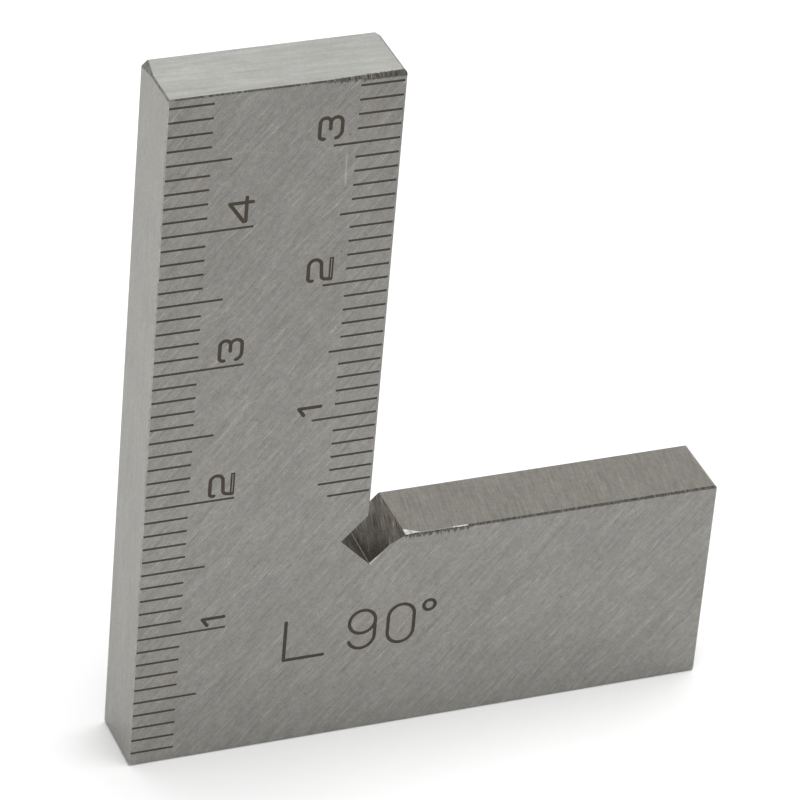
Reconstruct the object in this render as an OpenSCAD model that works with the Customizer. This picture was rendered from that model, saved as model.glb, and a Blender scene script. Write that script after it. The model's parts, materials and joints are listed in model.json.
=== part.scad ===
// Flat precision square: one L-shaped plate of ground steel with a relief notch in its inner corner and
// two engraved millimetre scales, whose lines and numerals hold a dark infill.
// X runs along the beam, Z up the blade, and the graduated face looks towards -Y.
// The origin is the middle of the base edge.

/* [Body] */
// Height of the blade's end above the base edge
blade_height = 49.6; // [48:0.1:50.4]
// Length of the base edge, from the outer blade edge to the beam's end
beam_length = 40; // [34:0.5:60]
// Width of the blade
blade_width = 15.3; // [14.3:0.1:16]
// Height of the beam
beam_height = 15; // [14:0.1:16]
// Thickness of the steel
thickness = 5; // [3:0.1:8]

/* [Relief notch] */
// Width of the slot that crosses the inner corner at 45 degrees, at the front
notch_width = 3; // [2.4:0.1:3.6]
// Depth of the slot's floor below the inner corner
notch_depth = 1.08; // [0.6:0.02:2]
// How far the slot's middle lies towards the beam
notch_offset = 0.06; // [0:0.02:0.3]
// Angle at which the slot's wall on the beam side opens out towards the back
notch_tilt = 4.5; // [0:0.5:8]
// Width of the fillet between the slot's floor and that wall
notch_fillet = 0.05; // [0.04:0.01:0.2]
// Where the filed mouth of that wall meets the beam's top edge, from the inner corner
mouth_reach = 2.74; // [2.6:0.02:3]

/* [Edges] */
// Width of the light bevel on the front of the outer edges
arris = 0.08; // [0.04:0.01:0.2]
// Width of the lighter bevel on the back and on the blade's inner edge
soft_arris = 0.05; // [0.03:0.01:0.1]
// Width of the filed bevel on the front of the beam's top edge
filed_arris = 0.11; // [0.04:0.01:0.2]
// Width of the filed bevel on the front of the blade's end, over most of its length
end_bevel = 0.09; // [0.05:0.01:0.3]
// Its width at the blade's inner corner
end_bevel_inner = 0.28; // [0.1:0.02:0.4]
// How far from the outer edge it starts to widen
end_bevel_widens = 10.8; // [8:0.2:13]
// Chamfer on the outer corner of the blade's end
end_chamfer = 0.11; // [0.05:0.01:0.4]
// Its width at the back
end_chamfer_back = 0.42; // [0.2:0.02:0.8]
// How far from the back it starts to widen
end_chamfer_widens = 1.9; // [1:0.1:4]
// Radius on the inner corner of the blade's end
blade_round = 0.2; // [0.1:0.05:1]
// How far the blunted back corner there reaches along the blade's end, its thickness and its height
blunt_reach = [0.3, 0.7, 0.5]; // [0.2:0.05:1]
// Radius on the two corners of the beam's end
beam_round = 0.25; // [0.1:0.05:0.8]
// Chamfer on the outer heel corner
heel_chamfer = 0.14; // [0.05:0.01:0.3]

/* [Graduations] */
// Width of an engraved line
line_width = 0.15; // [0.1:0.01:0.25]
// Depth of the engraving
engraving_depth = 0.08; // [0.04:0.01:0.2]
// How far the infill lies below the face
infill_recess = 0.015; // [0.005:0.005:0.03]
// Reach of the outer scale's millimetre, half-centimetre and centimetre lines from the outer edge
outer_reach = [2.96, 4.32, 5.99]; // [1:0.01:7]
// Reach of the inner scale's lines from the blade's inner edge
inner_reach = [2.99, 3.70, 4.47]; // [1:0.01:7]
// First millimetre of the inner scale, above the relief notch
inner_first = 4; // [3:1:5]

/* [Numerals] */
// Width of a numeral's stroke
stroke = 0.24; // [0.12:0.01:0.3]
// Gap between a centimetre line and the foot of its numeral, on the outer scale
outer_lift = [0.4, 0.32, 0.4, 0.4];
// The same on the inner scale
inner_lift = [0.58, 0.4, 0.5];
// Distance of the outer numerals' baseline from the outer edge
outer_baseline = 5.86; // [4:0.01:6.5]
// Distance of the inner numerals' baseline from the blade's inner edge
inner_baseline = 3.94; // [3:0.01:5]
// Left end and baseline of the right-angle mark on the beam
angle_mark_at = [10.2, 6.5]; // [2:0.1:20]
// Height of the right-angle mark
angle_mark_height = 3; // [2:0.1:4]

/* [Hidden] */
$fn = 48;

front = -thickness / 2;
clear = 0.1;                // how far a cutting tool stands off the surface
end_margin = 0.5;           // no line is cut nearer than this to the blade's end
outer_start = 0.08;         // gap between the outer edge and its lines
inner_start = 0.15;         // gap between the inner edge and its lines
outer_last = floor(blade_height - end_margin);
inner_last = floor(blade_height - beam_height - end_margin);
notch_out = 2.6;            // how far the slot's outline runs out of the inner corner
// Where the slot's two walls lie on the front: blade side, beam side
notch_sides = [notch_offset - notch_width / 2, notch_offset + notch_width / 2];
mouth_start = -0.78;        // where the filed mouth starts on the front face, measured as the depth is
burr_start = -0.15;         // where the burnished bevel on the wall's front edge starts
burr_width = 0.11;          // its width at the slot's floor
shine_length = 1.2;         // burnished corner facet: how far it runs along the beam
shine_back = 0.66;          // how far back it reaches
shine_drop = 0.05;          // and how far it falls at the front
// Kinds of graduation: millimetre, half centimetre, centimetre
MM = 0;
HALF = 1;
CM = 2;

steel = [0.55, 0.55, 0.53];
infill = [0.20, 0.17, 0.14];

function kind(n) = n % 10 == 0 ? CM : n % 5 == 0 ? HALF : MM;

// ---- Places ----

// Moves a child drawn from the outer heel corner into the part's own frame.
module from_heel() {
  translate([-beam_length / 2, 0, 0]) children();
}

// Extrudes a drawing of the front face between two depths below that face.
module below_face(low, high) {
  from_heel() translate([0, front + high, 0]) rotate([90, 0, 0]) linear_extrude(high - low) children();
}

// Stands a numeral on its line: it reads up the blade, with its top towards the outer edge.
module on_line(baseline, height) {
  translate([baseline, height]) rotate(90) children();
}

// ---- Strokes ----

module dot(p, width = stroke) {
  translate(p) circle(d = width);
}

module line(p, q, width = stroke) {
  run = q - p;
  translate(p) rotate(atan2(run.y, run.x)) translate([0, -width / 2]) square([norm(run), width]);
  dot(p, width);
  dot(q, width);
}

module ring(c, r) {
  translate(c) difference() {
    circle(r + stroke / 2);
    circle(r - stroke / 2);
  }
}

// Part of a ring, from one angle to a larger one. Its sector is a fan with steps of at most 60 degrees.
module arc(c, r, from, to) {
  steps = ceil((to - from) / 60);
  far = 3 * r;
  rim = [for (k = [0:steps]) far * [cos(from + k * (to - from) / steps), sin(from + k * (to - from) / steps)]];
  intersection() {
    ring(c, r);
    translate(c) polygon(concat([[0, 0]], rim));
  }
}

// ---- Numerals, drawn upright with the baseline at y = 0 ----

module glyph_1() {
  line([0.42, 0], [0.42, 1.45]);
  line([0.42, 1.45], [-0.1, 1.1]);
}

// Its foot is two thin strokes, close together.
module glyph_2() {
  thin = 0.12;
  arc([0.24, 1.32], 0.22, 90, 200);
  dot([0.03, 1.25]);
  line([0.24, 1.54], [1.12, 1.54]);
  arc([1.12, 1.12], 0.42, -90, 90);
  line([1.12, 0.7], [0.36, 0.66]);
  arc([0.36, 0.36], 0.3, 90, 180);
  line([0.06, 0.36], [0.02, 0.04]);
  line([0.02, -0.04], [1.54, -0.04], thin);
  line([0.06, 0.13], [1.54, 0.13], thin);
  line([1.54, -0.04], [1.54, 0.13], thin);
}

module glyph_3() {
  arc([0.3, 1.25], 0.26, 90, 190);
  dot([0.04, 1.2]);
  line([0.3, 1.51], [1.16, 1.51]);
  arc([1.16, 1.16], 0.35, -70, 90);
  line([1.3, 0.82], [0.72, 0.82]);
  arc([1.12, 0.44], 0.38, -90, 75);
  line([1.12, 0.06], [0.5, 0.06]);
  arc([0.5, 0.54], 0.48, 195, 270);
  dot([0.04, 0.42]);
}

module glyph_4() {
  line([1.37, 0], [1.37, 1.5]);
  line([1.37, 1.5], [0.02, 0.54]);
  line([0.02, 0.54], [0.04, 0.4]);
  line([0.04, 0.4], [1.72, 0.4]);
}

module glyph(n) {
  if (n == 1) glyph_1();
  if (n == 2) glyph_2();
  if (n == 3) glyph_3();
  if (n == 4) glyph_4();
}

// ---- The right-angle mark: an angle sign, a nine, a nought and a degree ring ----

module angle_sign() {
  line([0, angle_mark_height], [0, 0]);
  line([0, 0], [0.9 * angle_mark_height, 0]);
}

module big_nine() {
  bowl = 0.3 * angle_mark_height;
  high = angle_mark_height - bowl;
  ring([bowl, high], bowl);
  line([2 * bowl, high], [2 * bowl, bowl]);
  arc([bowl, bowl], bowl, 200, 360);
  dot([bowl + bowl * cos(200), bowl + bowl * sin(200)]);
}

module big_nought() {
  bowl = 0.3 * angle_mark_height;
  high = angle_mark_height - bowl;
  arc([bowl, high], bowl, 0, 180);
  arc([bowl, bowl], bowl, 180, 360);
  line([0, high], [0, bowl]);
  line([2 * bowl, high], [2 * bowl, bowl]);
}

module degree_ring() {
  r = 0.13 * angle_mark_height;
  ring([r, angle_mark_height - r], r);
}

module angle_mark_drawing() {
  pitch = 0.95 * angle_mark_height;
  translate(angle_mark_at) {
    angle_sign();
    translate([1.55 * pitch, 0]) big_nine();
    translate([2.5 * pitch, 0]) big_nought();
    translate([3.35 * pitch, 0]) degree_ring();
  }
}

// ---- Scale lines ----

module outer_lines(wanted) {
  for (n = [1:outer_last])
    if (kind(n) == wanted)
      translate([outer_start, n - line_width / 2]) square([outer_reach[wanted] - outer_start, line_width]);
}

module inner_lines(wanted) {
  for (n = [inner_first:inner_last])
    if (kind(n) == wanted)
      translate([blade_width - inner_reach[wanted], beam_height + n - line_width / 2])
        square([inner_reach[wanted] - inner_start, line_width]);
}

module outer_glyph(n) {
  on_line(outer_baseline, 10 * n + outer_lift[n - 1]) glyph(n);
}

module inner_glyph(n) {
  on_line(blade_width - inner_baseline, beam_height + 10 * n + inner_lift[n - 1]) glyph(n);
}

// ---- The steel ----

module outline() {
  difference() {
    union() {
      square([beam_length, beam_height]);
      square([blade_width, blade_height]);
    }
    rotate(45) square(heel_chamfer * sqrt(2), center = true);
    translate([0, blade_height]) rotate(45) square(end_chamfer * sqrt(2), center = true);
    translate([blade_width, blade_height]) corner_round(blade_round);
    translate([beam_length, beam_height]) corner_round(beam_round);
    translate([beam_length, 0]) mirror([0, 1]) corner_round(beam_round);
  }
}

// What is ground off a corner at the origin, whose steel lies below it and to its left.
module corner_round(r) {
  difference() {
    translate([-r, -r]) square(2 * r);
    translate([-r, -r]) circle(r);
  }
}

// A bar that bevels the edge from p to q on one face: side is -1 for the front and 1 for the back.
module edge_cut(p, q, width, side) {
  run = q - p;
  bar = width * sqrt(2);
  translate([p.x, side * thickness / 2, p.y]) rotate([0, -atan2(run.y, run.x), 0]) rotate([45, 0, 0])
    translate([0, -bar / 2, -bar / 2]) cube([norm(run), bar, bar]);
}

module edge_cuts() {
  past = 2;
  inner = notch_width / 2 + clear;
  for (side = [-1, 1]) {
    outer = side < 0 ? arris : soft_arris;
    edge_cut([0, -past], [0, blade_height + past], outer, side);
    edge_cut([-past, 0], [beam_length + past, 0], outer, side);
    edge_cut([beam_length, -past], [beam_length, beam_height + past], outer, side);
    edge_cut([blade_width, beam_height + inner], [blade_width, blade_height + past], soft_arris, side);
  }
  edge_cut([blade_width + inner, beam_height], [beam_length + past, beam_height], filed_arris, -1);
  edge_cut([blade_width + inner, beam_height], [beam_length + past, beam_height], soft_arris, 1);
  edge_cut([-past, blade_height], [blade_width + past, blade_height], end_bevel, -1);
  edge_cut([-past, blade_height], [blade_width + past, blade_height], soft_arris, 1);
}

// Files off what lies outside the plane through three points. The cut starts along the line from a to b and goes
// on past c. Seen from outside, a, b and c go round anticlockwise.
module facet(a, b, c, past = 0.8) {
  over = 0.02;
  height = 0.8;
  along = (b - a) / norm(b - a);
  out = cross(b - a, c - a) / norm(cross(b - a, c - a));
  across = cross(out, along);
  multmatrix([[along.x, across.x, out.x, a.x], [along.y, across.y, out.y, a.y], [along.z, across.z, out.z, a.z]])
    translate([-over, -over, 0]) cube([norm(b - a) + 2 * over, (c - a) * across + past, height]);
}

// The part of the filed bevel on the blade's end that widens towards the inner corner.
module wide_end_bevel() {
  facet([blade_width, front + end_bevel_inner, blade_height],
    [end_bevel_widens, front + end_bevel, blade_height],
    [end_bevel_widens, front, blade_height - end_bevel]);
}

// The part of the chamfer on the outer corner of the blade's end that widens towards the back.
module wide_end_chamfer() {
  start = -front - end_chamfer_widens;
  facet([end_chamfer, start, blade_height],
    [end_chamfer_back, -front, blade_height],
    [0, start, blade_height - end_chamfer]);
}

// What is rubbed off the back corner at the blade's inner end.
module blunt_corner() {
  facet([blade_width - blunt_reach.x, -front, blade_height],
    [blade_width, -front - blunt_reach.y, blade_height],
    [blade_width, -front, blade_height - blunt_reach.z]);
}

// ---- The relief notch ----

// A point in the slot: its depth below the inner corner, its distance across the slot towards the beam, and
// how far it lies behind the front face.
function in_slot(depth, across, back) =
  [blade_width + (across - depth) / sqrt(2), front + back, beam_height - (across + depth) / sqrt(2)];

// The milled slot. The cutter leaned over on a second pass, so the wall on the beam side opens towards the back.
module slot() {
  far = 5;
  translate([blade_width, 0, beam_height]) rotate([90, 0, 0]) rotate(225) intersection() {
    translate([0, notch_sides[1], -front]) rotate([notch_tilt, 0, 0]) translate([0, 0, -2 * thickness])
      linear_extrude(3 * thickness)
        polygon([[notch_depth, -far], [notch_depth, -notch_fillet], [notch_depth - notch_fillet, 0],
          [-notch_out, 0], [-notch_out, -far]]);
    translate([-far, notch_sides[0], front - clear]) cube([2 * far, far, thickness + 2 * clear]);
  }
}

// The filed mouth of the wall on the beam side, widest at the front.
module filed_mouth() {
  top = mouth_reach / sqrt(2);
  facet(in_slot(mouth_start, notch_sides[1], 0), in_slot(-top, top, 0), in_slot(-top, top, thickness));
}

// The burnished bevel on the front edge of that wall, widest at the slot's floor.
module burnished_burr() {
  facet(in_slot(notch_depth, notch_sides[1] + burr_width, 0),
    in_slot(burr_start, notch_sides[1], 0),
    in_slot(notch_depth, notch_sides[1], burr_width), 0.03);
}

// The shallow burnished facet where the mouth meets the front of the beam's top edge.
module burnished_corner() {
  corner = blade_width + mouth_reach;
  facet([corner, front + shine_back, beam_height],
    [corner, front, beam_height - shine_drop],
    [corner + shine_length, front, beam_height]);
}

module square_body() {
  color(steel) difference() {
    from_heel() difference() {
      rotate([90, 0, 0]) linear_extrude(thickness, center = true) outline();
      edge_cuts();
      wide_end_bevel();
      wide_end_chamfer();
      blunt_corner();
      slot();
      filed_mouth();
      burnished_burr();
      burnished_corner();
    }
    below_face(-clear, engraving_depth) {
      for (wanted = [MM, HALF, CM]) {
        outer_lines(wanted);
        inner_lines(wanted);
      }
      for (n = [1:4]) outer_glyph(n);
      for (n = [1:3]) inner_glyph(n);
      angle_mark_drawing();
    }
  }
}

// ---- The dark infill ----

module infilled() {
  color(infill) below_face(infill_recess, engraving_depth) children();
}

module outer_mm_lines() {
  infilled() outer_lines(MM);
}

module outer_half_cm_lines() {
  infilled() outer_lines(HALF);
}

module outer_cm_lines() {
  infilled() outer_lines(CM);
}

module inner_mm_lines() {
  infilled() inner_lines(MM);
}

module inner_half_cm_lines() {
  infilled() inner_lines(HALF);
}

module inner_cm_lines() {
  infilled() inner_lines(CM);
}

module outer_numeral(n) {
  infilled() outer_glyph(n);
}

module inner_numeral(n) {
  infilled() inner_glyph(n);
}

module angle_mark() {
  infilled() angle_mark_drawing();
}

square_body();
outer_mm_lines();
outer_half_cm_lines();
outer_cm_lines();
outer_numeral(1);  // outer_numeral_1
outer_numeral(2);  // outer_numeral_2
outer_numeral(3);  // outer_numeral_3
outer_numeral(4);  // outer_numeral_4
inner_mm_lines();
inner_half_cm_lines();
inner_cm_lines();
inner_numeral(1);  // inner_numeral_1
inner_numeral(2);  // inner_numeral_2
inner_numeral(3);  // inner_numeral_3
angle_mark();
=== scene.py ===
"""Looks for a small flat precision square: ground steel with two dark infilled millimetre scales.

The frame's own steel and infill solids are what is shown. This script gives each surface of the steel
its own machining finish, gives the marks their dark infill, and adds the camera, the lights and a pale
floor.
"""

import json
import math

import bpy
from mathutils import Matrix, Quaternion, Vector


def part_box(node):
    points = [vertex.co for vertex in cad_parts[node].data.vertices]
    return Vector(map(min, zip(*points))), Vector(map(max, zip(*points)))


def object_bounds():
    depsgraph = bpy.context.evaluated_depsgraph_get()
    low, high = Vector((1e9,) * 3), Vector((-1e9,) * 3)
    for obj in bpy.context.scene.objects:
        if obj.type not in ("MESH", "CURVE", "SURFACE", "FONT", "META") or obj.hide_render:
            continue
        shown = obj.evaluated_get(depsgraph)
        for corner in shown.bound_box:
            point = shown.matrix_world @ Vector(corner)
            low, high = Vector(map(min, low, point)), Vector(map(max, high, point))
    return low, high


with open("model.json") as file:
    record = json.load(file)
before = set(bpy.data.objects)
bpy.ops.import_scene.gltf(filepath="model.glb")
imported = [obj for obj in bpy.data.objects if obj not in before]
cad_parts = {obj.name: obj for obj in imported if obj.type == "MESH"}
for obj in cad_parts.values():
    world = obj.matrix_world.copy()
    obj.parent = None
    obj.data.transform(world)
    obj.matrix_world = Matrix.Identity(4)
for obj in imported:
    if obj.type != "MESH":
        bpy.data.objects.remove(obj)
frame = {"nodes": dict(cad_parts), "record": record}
cad_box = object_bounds()

MM = 0.001
STEEL_NODE = "square_body"

# ---- Camera: a long lens in front of the square, to its left and above it ----
AZIMUTH = -23.92        # degrees round the square; 0 looks along +Y
ELEVATION = 33.12       # degrees above the horizon
ROLL = 5.23             # degrees, anticlockwise
DISTANCE = 325.1 * MM   # from the camera to the point it aims at
LENS = 232.5            # focal length for a sensor 36 wide
AIM_RIGHT = -3.27 * MM  # the point it aims at, from the middle of the front face
AIM_UP = 0.78 * MM

# ---- Light and floor: places and sizes in metres, brightness as a mirror would show it ----
ROOM_GREY = 0.85
TOP_PLACE = (0.14, 0.0, 0.74)
TOP_SIZE = 0.8
TOP_BRIGHTNESS = 2.6
FILL_PLACE = (-0.52, -0.50, 0.36)
FILL_SIZE = 0.3
FILL_BRIGHTNESS = 2.5
FLOOR_GREY = 0.78
FLOOR_SIZE = 3.0
FLOOR_GAP = 0.02 * MM

# ---- Colours, linear ----
STEEL = (0.255, 0.2505, 0.235)
BRIGHT_STEEL = (0.303, 0.298, 0.280)
END_STEEL = (0.318, 0.320, 0.302)
WARM_STEEL = (0.275, 0.263, 0.236)
MILLED_STEEL = (0.138, 0.127, 0.108)
FILED_STEEL = (0.078, 0.073, 0.064)
BURNISHED_STEEL = (0.50, 0.49, 0.46)
SCUFFED_STEEL = (0.215, 0.213, 0.200)
CREASE_STEEL = (0.155, 0.150, 0.138)
INFILL = (0.041, 0.032, 0.022)
WARM_TINT = (1.005, 1.0, 0.99)
COOL_TINT = (0.995, 1.0, 1.0)

# ---- Directions ----
X = Vector((1, 0, 0))
Y = Vector((0, 1, 0))
Z = Vector((0, 0, 1))
LAY_ANGLE = 47.5   # degrees above the beam, at which both faces were ground
BEAM_TOP_SKEW = 5  # degrees that the lay on the beam's top lies off square to its edges

# ---- Filed bevels, wear and the front's darkening towards the top, in millimetres ----
END_WIDENS_AT = 10.0     # along the blade's end from its outer corner: the filed bevel starts to widen
END_WIDE_AT = 12.6       # and here it has its full width
END_FILED_FROM = 10.5    # where the file has also touched the end's own face
MOUTH = 2.7              # from the inner corner to where the notch's mouth meets the beam's top edge
COARSE_LENGTH = 4.6      # how far the coarse file marks run from the mouth along the beam
NOTCH_REACH = 3.3        # everything of the notch lies within this of the inner corner
KNOCK_LOW = (11.81, 41.97)   # one end of the single scratch, from the front's outer lower corner
KNOCK_HIGH = (11.72, 44.56)  # and its other end
KNOCK_WIDTH = 0.12
DARKENS_FROM = 18        # height at which the front's colour starts to grow darker towards the top
DARKEST_AT = 48          # and where it is darkest

# ---- How a face of the steel is told from its neighbours ----
TOUCHING = 0.01 * MM     # a face this near to a plane lies in it
GROOVE_DEPTH = 0.1 * MM  # the marks' grooves are shallower than this
FACET_DEPTH = 0.1 * MM   # the burnished facet lies within this of the beam's top
SQUARE_ON = 0.999        # least part of a face's normal along an axis for a flat side
NEARLY_LEVEL = 0.99
TILTED = 0.3
SLIGHTLY_TILTED = 0.1


def leaning(degrees):
    """The direction in the plane of the faces at this angle above the beam."""
    angle = math.radians(degrees)
    return Vector((math.cos(angle), 0, math.sin(angle)))


def turned(axis, degrees, *directions):
    """The directions, each turned about the axis."""
    turn = Quaternion(axis, math.radians(degrees))
    return [turn @ direction for direction in directions]


# ---- Shader building ----
class Shader:
    """A material's node tree. place is the surface point in millimetres, in the square's own frame."""

    def __init__(self, name):
        self.material = bpy.data.materials.new(name)
        self.material.use_nodes = True
        self.nodes = self.material.node_tree.nodes
        self.links = self.material.node_tree.links
        self.surface = self.nodes["Principled BSDF"]
        where = self.nodes.new("ShaderNodeTexCoord").outputs["Object"]
        self.place = self.vector("SCALE", where, Scale=1 / MM)

    def plug(self, socket, value):
        if isinstance(value, bpy.types.NodeSocket):
            self.links.new(value, socket)
        else:
            socket.default_value = value

    def add(self, kind, inputs, output=0, **settings):
        made = self.nodes.new(kind)
        for name, value in settings.items():
            setattr(made, name, value)
        for key, value in inputs.items():
            self.plug(made.inputs[key], value)
        return made.outputs[output]

    def maths(self, operation, *values):
        return self.add("ShaderNodeMath", dict(enumerate(values)), operation=operation)

    def vector(self, operation, *values, **named):
        output = "Value" if operation in ("DOT_PRODUCT", "DISTANCE") else "Vector"
        inputs = {**dict(enumerate(values)), **named}
        return self.add("ShaderNodeVectorMath", inputs, output, operation=operation)

    def measured(self, direction):
        """How far the surface point lies along a direction, in millimetres."""
        return self.vector("DOT_PRODUCT", self.place, direction)

    def noise(self, place, detail, roughness=0.5):
        inputs = {"Vector": place, "Scale": 1.0, "Detail": detail, "Roughness": roughness}
        return self.add("ShaderNodeTexNoise", inputs)

    def step(self, value, start, end, low=0.0, high=1.0):
        """A smooth step: low where value is under start, high where it is over end."""
        inputs = {"Value": value, "From Min": start, "From Max": end, "To Min": low, "To Max": high}
        return self.add("ShaderNodeMapRange", inputs, interpolation_type="SMOOTHSTEP")

    def about_one(self, value, swing):
        """Turns a noise about 0.5 into a factor about 1."""
        return self.maths("MULTIPLY_ADD", value, 2 * swing, 1 - swing)

    def product(self, *values):
        total = values[0]
        for value in values[1:]:
            total = self.maths("MULTIPLY", total, value)
        return total

    def total(self, *values):
        result = values[0]
        for value in values[1:]:
            result = self.maths("ADD", result, value)
        return result

    def mixed(self, share, colour, other):
        inputs = {0: share, 6: colour, 7: other}
        return self.add("ShaderNodeMix", inputs, 2, data_type="RGBA")

    def shaded(self, colour, factor):
        """A colour times a factor that varies over the surface."""
        return self.vector("SCALE", colour, Scale=factor)

    def bump(self, height, depth):
        """Relief whose height runs from 0 to 1 over depth."""
        return self.add("ShaderNodeBump", {"Height": height, "Distance": depth, "Strength": 1.0})

    def streaks(self, along, across, length, width, seed, detail=3.0):
        """A noise drawn out along one direction. Its marks are about length by width, in millimetres."""
        out = along.cross(across)
        u = self.maths("DIVIDE", self.measured(along), length)
        v = self.maths("DIVIDE", self.measured(across), width)
        w = self.maths("ADD", self.measured(out), seed)
        stretched = self.add("ShaderNodeCombineXYZ", {"X": u, "Y": v, "Z": w})
        return self.noise(stretched, detail, roughness=0.55)

    def clouds(self, size, seed, detail=3.0):
        """An even noise with marks of about this size, in millimetres."""
        moved = self.vector("ADD", self.place, (seed, 2 * seed, 3 * seed))
        return self.noise(self.vector("SCALE", moved, Scale=1 / size), detail)

    def ramp(self, direction, start, end, low, high):
        """A value that runs evenly from low to high between two places along a direction."""
        inputs = {"From Min": start, "From Max": end, "To Min": low, "To Max": high}
        return self.add("ShaderNodeMapRange", {"Value": self.measured(direction), **inputs})

    def ragged_fringe(self, into, edge, reach, seed, ragged):
        """1 in the toothed band that a file left beside an edge. into points from the edge inwards."""
        away = self.maths("ABSOLUTE", self.maths("SUBTRACT", self.measured(into), edge))
        teeth = self.streaks(into, X, length=0.6, width=0.12, seed=seed, detail=2.0)
        limit = self.product(self.about_one(teeth, ragged), reach)
        return self.step(self.maths("SUBTRACT", limit, away), -0.03, 0.04)

    def scratch(self, start, end, width):
        """1 in one straight scratch in the plane of the faces, from start to end in millimetres."""
        way = (end - start).normalized()
        across = way.cross(Y)
        first = start.dot(way)
        last = end.dot(way)
        off = self.maths("SUBTRACT", self.measured(across), start.dot(across))
        beside = self.step(self.maths("ABSOLUTE", off), 0.7 * width, 0.3 * width)
        after_start = self.step(self.measured(way), first, first + width)
        before_end = self.step(self.measured(way), last, last - width)
        return self.product(beside, after_start, before_end)

    def pits(self, spacing, radius, share, seed):
        """1 in small round pits, 0 elsewhere. share is how many of the spacing's cells hold one."""
        moved = self.vector("ADD", self.place, (seed, 2 * seed, 3 * seed))
        cells = self.nodes.new("ShaderNodeTexVoronoi")
        self.plug(cells.inputs["Vector"], self.vector("SCALE", moved, Scale=1 / spacing))
        self.plug(cells.inputs["Scale"], 1.0)
        lot = self.vector("DOT_PRODUCT", cells.outputs["Color"], (1, 0, 0))
        chosen = self.maths("LESS_THAN", lot, share)
        near = self.step(cells.outputs["Distance"], 0.4 * radius / spacing, radius / spacing, 1.0, 0.0)
        return self.product(chosen, near)

    def finished(self, colour, roughness, relief, depth, metallic=1.0):
        """Gives the surface its colour, its roughness and a relief this deep, and returns the material."""
        self.plug(self.surface.inputs["Base Color"], colour)
        self.plug(self.surface.inputs["Roughness"], roughness)
        self.plug(self.surface.inputs["Normal"], self.bump(relief, depth))
        self.plug(self.surface.inputs["Metallic"], metallic)
        return self.material


def ground_steel(
    name,
    along,
    across,
    colour,
    grain=1.0,
    broad=1.0,
    grit=1.0,
    scratched=1.0,
    fringes=(),
    scratches=(),
    top_darkening=0.0,
):
    """Steel ground in straight lines along the lay. across lies in the face, square to the lay.

    grain, broad, grit and scratched strengthen the fine lines, the wide bands, the speckle and the
    scratches. fringes are functions that return the toothed bands beside filed edges. scratches are single
    ones, each with its two ends and its width. The last argument is how much darker the colour grows
    towards the blade's upper end.
    """
    s = Shader(name)
    out = along.cross(across)
    fine = s.streaks(along, across, length=1.4, width=0.11, seed=1.7)
    coarse = s.streaks(along, across, length=4.0, width=0.40, seed=12.3)
    slanted = s.streaks(*turned(out, 5, along, across), length=2.2, width=0.16, seed=31.1, detail=2.0)
    cloud = s.clouds(size=3.0, seed=5.1)
    speckle = s.clouds(size=0.10, seed=9.7, detail=2.0)
    mottle = s.clouds(size=0.32, seed=14.9, detail=2.0)

    hair = s.streaks(along, across, length=1.9, width=0.065, seed=47.9, detail=1.0)
    oblique = s.streaks(*turned(out, -7, along, across), length=2.6, width=0.07, seed=88.2, detail=1.0)
    stray = s.streaks(*turned(out, -28, along, across), length=2.4, width=0.07, seed=63.4, detail=1.0)
    bright = s.total(s.step(hair, 0.65, 0.73), s.step(oblique, 0.67, 0.75), s.step(stray, 0.72, 0.79))
    dark = s.step(slanted, 0.36, 0.28)
    pit = s.pits(spacing=1.6, radius=0.10, share=0.22, seed=21.0)
    fringe = s.total(0.0, *[made(s) for made in fringes])
    single = s.total(0.0, *[s.scratch(start, end, width) for start, end, width in scratches])

    shade = s.product(
        s.about_one(fine, 0.15 * grain),
        s.about_one(coarse, 0.14 * broad),
        s.about_one(slanted, 0.17 * grain),
        s.about_one(cloud, 0.08 * broad),
        s.about_one(speckle, 0.34 * grit),
        s.about_one(mottle, 0.20 * grit),
        s.maths("MULTIPLY_ADD", bright, 0.29 * scratched, 1.0),
        s.maths("MULTIPLY_ADD", dark, -0.08 * scratched, 1.0),
        s.maths("MULTIPLY_ADD", pit, -0.22, 1.0),
        s.maths("MULTIPLY_ADD", fringe, -0.48, 1.0),
        s.maths("MULTIPLY_ADD", single, 0.27, 1.0),
        # the colour grows darker towards the top of the blade
        s.ramp(Z, DARKENS_FROM, DARKEST_AT, 1.0, 1.0 - top_darkening),
    )
    tint = s.mixed(s.step(s.clouds(size=1.1, seed=3.3), 0.4, 0.6), (*WARM_TINT, 1), (*COOL_TINT, 1))
    toned = s.shaded(s.vector("MULTIPLY", tint, colour), shade)
    roughness = s.total(
        s.maths("MULTIPLY_ADD", fine, 0.14, 0.36),
        s.product(bright, -0.06),
        s.product(pit, 0.15),
        s.product(fringe, 0.2),
    )
    relief = s.total(fine, s.product(speckle, 0.5), s.product(bright, -0.3), s.product(pit, -1.0))
    s.plug(s.surface.inputs["Tangent"], s.add("ShaderNodeCombineXYZ", dict(enumerate(across))))
    s.surface.inputs["Anisotropic"].default_value = 0.7
    return s.finished(toned, roughness, relief, 0.003 * MM)


def milled_steel(name):
    """The relief notch's walls: slanting cutter lines, darker, browner and rougher than the faces."""
    s = Shader(name)
    along = (Y + 0.32 * leaning(45)).normalized()
    across = along.cross(Z).normalized()
    lines = s.streaks(along, across, length=1.8, width=0.10, seed=4.2)
    bands = s.streaks(along, across, length=4.0, width=0.40, seed=19.4, detail=1.0)
    cloud = s.clouds(size=0.7, seed=8.8)
    speckle = s.clouds(size=0.10, seed=9.7, detail=2.0)
    hair = s.streaks(along, across, length=1.6, width=0.07, seed=71.3, detail=1.0)
    bright = s.step(hair, 0.64, 0.74)
    shade = s.product(
        s.about_one(lines, 1.2),
        s.about_one(bands, 0.4),
        s.about_one(cloud, 0.4),
        s.about_one(speckle, 0.6),
        s.maths("MULTIPLY_ADD", bright, 0.7, 1.0),
    )
    roughness = s.maths("MULTIPLY_ADD", lines, 0.2, 0.36)
    return s.finished(s.shaded(MILLED_STEEL, shade), roughness, lines, 0.02 * MM)


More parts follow.
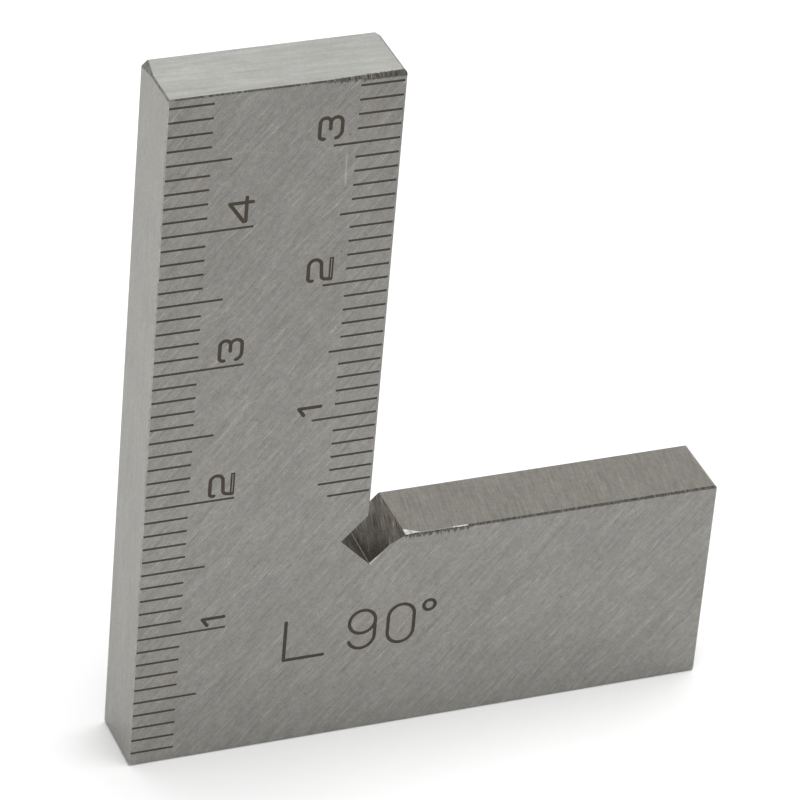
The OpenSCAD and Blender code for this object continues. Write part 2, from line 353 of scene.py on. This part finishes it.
def filed_steel(name, rubs_and_glints, shiny_above):
    """Hand-filed bevels: short dark file marks across the edge.

    The spots given are rubbed bright above the line where y + z is shiny_above, partly from wear and
    partly as a painted glint on the bevel. Each has its middle, its reach and how bright it is.
    """
    s = Shader(name)
    marks = s.streaks((Y + Z).normalized(), X, length=0.8, width=0.085, seed=2.6, detail=2.0)
    patches = s.clouds(size=0.6, seed=6.6)
    up = s.total(s.measured(Y + Z), s.maths("MULTIPLY_ADD", marks, 0.16, -0.08))
    upper = s.step(up, shiny_above - 0.02, shiny_above + 0.02)
    light = s.product(s.step(marks, 0.50, 0.68), s.step(patches, 0.40, 0.62), 0.22)
    # each spot is rubbed steel and also a painted glint on the bevel
    for middle, reach, bright in rubs_and_glints:
        rub_and_glint = s.step(s.vector("DISTANCE", s.place, middle), reach + 0.2, reach)
        light = s.maths("MAXIMUM", light, s.product(rub_and_glint, upper, bright))
    dark = s.shaded(FILED_STEEL, s.about_one(marks, 1.3))
    colour = s.mixed(light, dark, (*BURNISHED_STEEL, 1))
    roughness = s.maths("MULTIPLY_ADD", light, -0.25, 0.6)
    return s.finished(colour, roughness, marks, 0.015 * MM)


def worn_steel(name, colour, smoothest, swing):
    """Bare edges and facets rubbed by handling, with small nicks. smoothest is the lowest roughness."""
    s = Shader(name)
    nicks = s.clouds(size=0.25, seed=1.9)
    rub = s.clouds(size=2.0, seed=7.7)
    shade = s.product(s.about_one(nicks, swing), s.about_one(rub, 0.5 * swing))
    roughness = s.maths("MULTIPLY_ADD", nicks, 0.25, smoothest)
    return s.finished(s.shaded(colour, shade), roughness, nicks, 0.005 * MM)


def dark_infill(name):
    """The oxide in the engraved marks: dull, dark brown and a little uneven."""
    s = Shader(name)
    grains = s.clouds(size=0.06, seed=4.4)
    thin = s.clouds(size=0.5, seed=2.2)
    shade = s.product(s.about_one(grains, 0.5), s.about_one(thin, 0.45))
    roughness = s.maths("MULTIPLY_ADD", grains, 0.3, 0.55)
    s.surface.inputs["Specular IOR Level"].default_value = 0.3
    return s.finished(s.shaded(INFILL, shade), roughness, grains, 0.012 * MM, metallic=0.0)


# ---- The steel's surfaces ----
def inner_corner():
    """Where the blade's inner edge and the beam's top edge would meet, from the mounts on them."""
    mounts = {m["name"]: Vector(m["pos_m"]) for m in frame["record"]["mounts"]}
    return Vector((mounts["inner_blade_edge"].x, 0, mounts["inner_beam_edge"].z))


def fringe_beside(into, edge, start, end, reach_at_start, reach_at_end, ragged):
    """The dark band beside an edge that runs along X, from start to end. All of it is in millimetres.

    ragged is how toothed it is: under 1 its outline is almost straight. Its two ends fade out.
    """
    fade = 0.15

    def made(s):
        reach = s.ramp(X, start, end, reach_at_start, reach_at_end)
        band = s.ragged_fringe(into, edge, reach, start, ragged)
        begun = s.ramp(X, start - fade, start + fade, 0, 1)
        going_on = s.ramp(X, end - fade, end + fade, 1, 0)
        return s.product(band, begun, going_on)

    return made


def steel_finishes(low, high, corner):
    """The finishes of the steel's surfaces, by name. The corners are in metres."""
    lay = leaning(LAY_ANGLE)
    square_to_lay = leaning(LAY_ANGLE + 90)
    skewed_y, skewed_x = turned(Z, -BEAM_TOP_SKEW, Y, X)

    left = low.x / MM
    front = low.y / MM
    base = low.z / MM
    tip = high.x / MM
    top = high.z / MM
    inner_edge = corner.x / MM
    beam_top = corner.z / MM
    mouth = inner_edge + MOUTH
    widens = left + END_WIDENS_AT
    wide = left + END_WIDE_AT
    coarse_end = mouth + COARSE_LENGTH
    on_face = (
        fringe_beside(-Z, -top, left, widens, 0.10, 0.10, ragged=0.4),
        fringe_beside(-Z, -top, widens, wide, 0.14, 0.30, ragged=1.6),
        fringe_beside(-Z, -top, wide, inner_edge, 0.28, 0.31, ragged=0.5),
        fringe_beside(-Z, -beam_top, mouth, coarse_end, 0.26, 0.22, ragged=2.4),
        fringe_beside(-Z, -beam_top, coarse_end, tip, 0.15, 0.17, ragged=0.5),
    )
    on_end = (fringe_beside(Y, front, left + END_FILED_FROM, inner_edge, 0.15, 0.36, ragged=1.0),)
    # bright spots on the filed bevels: partly rubbed wear, partly a painted glint
    rubs_and_glints = (
        ((mouth + 2.1, front, beam_top), 1.1, 0.34),
        ((mouth + 3.8, front, beam_top), 0.45, 1.0),
        ((left, front, top), 0.25, 0.2),
    )
    knock_ends = [Vector((left + x, 0, base + z)) for x, z in (KNOCK_LOW, KNOCK_HIGH)]
    return {
        "face": ground_steel(
            "ground_face",
            lay,
            square_to_lay,
            STEEL,
            fringes=on_face,
            scratches=[(*knock_ends, KNOCK_WIDTH)],
            top_darkening=0.12,
        ),
        "back": ground_steel("ground_back", lay, square_to_lay, STEEL),
        "upright": ground_steel(
            "edge_ground_lengthwise_z", Z, Y, BRIGHT_STEEL, grain=0.12, broad=0.9, grit=0.8, scratched=0.4
        ),
        "level": ground_steel(
            "edge_ground_lengthwise_x",
            X,
            Y,
            END_STEEL,
            grain=0.2,
            broad=1.6,
            grit=0.5,
            scratched=0.3,
            fringes=on_end,
        ),
        "crosswise": ground_steel(
            "edge_ground_crosswise",
            skewed_y,
            skewed_x,
            WARM_STEEL,
            grain=1.4,
            broad=0.8,
            grit=0.9,
            scratched=0.5,
        ),
        "crosswise_upright": ground_steel(
            "edge_ground_crosswise_z", Y, Z, WARM_STEEL, grain=1.1, broad=0.6, grit=1.1, scratched=0.5
        ),
        "notch": milled_steel("milled_notch"),
        "filed": filed_steel("filed_bevel", rubs_and_glints, shiny_above=front + beam_top + 0.01),
        "burnished": worn_steel("burnished_facet", BURNISHED_STEEL, smoothest=0.2, swing=0.8),
        "arris": worn_steel("worn_arris", BRIGHT_STEEL, smoothest=0.25, swing=0.5),
        "scuffed": worn_steel("scuffed_chamfer", SCUFFED_STEEL, smoothest=0.35, swing=0.9),
        "crease": worn_steel("notch_crease", CREASE_STEEL, smoothest=0.35, swing=0.4),
        "groove": dark_infill("groove_wall"),
    }


def flat_finish(n, c, low, high, corner):
    """The name of the finish on a flat side of the steel, or None if the face isn't on one.

    n is the face's normal and c is its centre.
    """
    if n.y < -SQUARE_ON:
        return "face" if c.y < low.y + TOUCHING else "groove"
    if n.y > SQUARE_ON:
        return "back"
    if abs(n.x) > SQUARE_ON:
        if abs(c.x - low.x) < TOUCHING:
            return "upright"
        if abs(c.x - corner.x) < TOUCHING or abs(c.x - high.x) < TOUCHING:
            return "crosswise_upright"
    if abs(n.z) > SQUARE_ON:
        if abs(c.z - high.z) < TOUCHING or abs(c.z - low.z) < TOUCHING:
            return "level"
        if abs(c.z - corner.z) < TOUCHING:
            return "crosswise"
    return None


def finish_of(face, low, high, corner):
    """The name of the finish on one face of the steel, from the way it looks and where it lies."""
    n = face.normal
    c = face.center
    by_notch = max(abs(c.x - corner.x), abs(c.z - corner.z)) < NOTCH_REACH * MM
    flat = flat_finish(n, c, low, high, corner)
    if flat:
        return flat
    if by_notch and n.z > NEARLY_LEVEL:
        return "burnished" if c.z > corner.z - FACET_DEPTH else "crease"
    if by_notch and n.y < -TILTED and n.x < -TILTED:
        return "arris"
    if n.z > TILTED and n.x < -TILTED and not by_notch:
        return "scuffed"
    if abs(n.y) > SLIGHTLY_TILTED:
        return "filed" if n.y < 0 and n.z > TILTED else "arris"
    if c.y < low.y + GROOVE_DEPTH:
        return "groove"
    return "notch" if by_notch else "arris"


def finish_steel():
    """Gives every face of the steel the finish of the surface that it belongs to."""
    body = frame["nodes"][STEEL_NODE]
    corner = inner_corner()
    low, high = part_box(STEEL_NODE)
    finishes = steel_finishes(low, high, corner)
    order = list(finishes)
    body.data.materials.clear()
    for name in order:
        body.data.materials.append(finishes[name])
    for face in body.data.polygons:
        face.material_index = order.index(finish_of(face, low, high, corner))


def finish_marks():
    """Gives all the infilled lines, numerals and strokes one dark material."""
    infill = dark_infill("mark_infill_oxide")
    for name, node in frame["nodes"].items():
        if name != STEEL_NODE:
            node.material_slots[0].material = infill


# ---- Stage ----
def make_camera():
    """A camera that looks at the middle of the front face from AZIMUTH and ELEVATION."""
    low, high = cad_box
    aim = Vector(((low.x + high.x) / 2 + AIM_RIGHT, low.y, (low.z + high.z) / 2 + AIM_UP))
    turn = math.radians(AZIMUTH)
    rise = math.radians(ELEVATION)
    flat = math.cos(rise)
    back = Vector((math.sin(turn) * flat, -math.cos(turn) * flat, math.sin(rise)))
    right = Quaternion(back, math.radians(ROLL)) @ Vector((math.cos(turn), math.sin(turn), 0))
    place = Matrix((right, back.cross(right), back)).transposed().to_4x4()
    place.translation = aim + back * DISTANCE
    data = bpy.data.cameras.new("camera")
    data.lens = LENS
    data.clip_start = 0.01
    data.clip_end = 20
    camera = bpy.data.objects.new("camera", data)
    camera.matrix_world = place
    bpy.context.scene.collection.objects.link(camera)
    bpy.context.scene.camera = camera


def softbox(name, place, size, brightness):
    """A square of even white light that faces the part. brightness is what a mirror would show."""
    data = bpy.data.lights.new(name, "AREA")
    data.shape = "SQUARE"
    data.size = size
    data.energy = brightness * math.pi * size ** 2
    light = bpy.data.objects.new(name, data)
    light.location = place
    light.rotation_mode = "QUATERNION"
    light.rotation_quaternion = Vector(place).to_track_quat("Z", "Y")
    light.visible_camera = False
    bpy.context.scene.collection.objects.link(light)


def make_lights():
    """An even pale room, a large softbox above the square and a small one in front of it."""
    world = bpy.data.worlds.new("room")
    world.use_nodes = True
    background = world.node_tree.nodes["Background"]
    background.inputs["Color"].default_value = (ROOM_GREY, ROOM_GREY, ROOM_GREY, 1)
    bpy.context.scene.world = world
    softbox("top_softbox", TOP_PLACE, TOP_SIZE, TOP_BRIGHTNESS)
    softbox("front_fill", FILL_PLACE, FILL_SIZE, FILL_BRIGHTNESS)


def make_floor():
    """A matt pale floor just under the square's base."""
    low = cad_box[0]
    half = FLOOR_SIZE / 2
    corners = [(-half, -half, 0), (half, -half, 0), (half, half, 0), (-half, half, 0)]
    mesh = bpy.data.meshes.new("floor")
    mesh.from_pydata(corners, [], [(0, 1, 2, 3)])
    floor = bpy.data.objects.new("floor", mesh)
    floor.location.z = low.z - FLOOR_GAP
    bpy.context.scene.collection.objects.link(floor)
    s = Shader("pale_floor")
    s.surface.inputs["Base Color"].default_value = (FLOOR_GREY, FLOOR_GREY, FLOOR_GREY, 1)
    s.surface.inputs["Roughness"].default_value = 0.9
    s.surface.inputs["Specular IOR Level"].default_value = 0.0
    mesh.materials.append(s.material)


make_camera()
make_lights()
make_floor()
finish_steel()
finish_marks()
bpy.context.scene.view_settings.view_transform = "Standard"
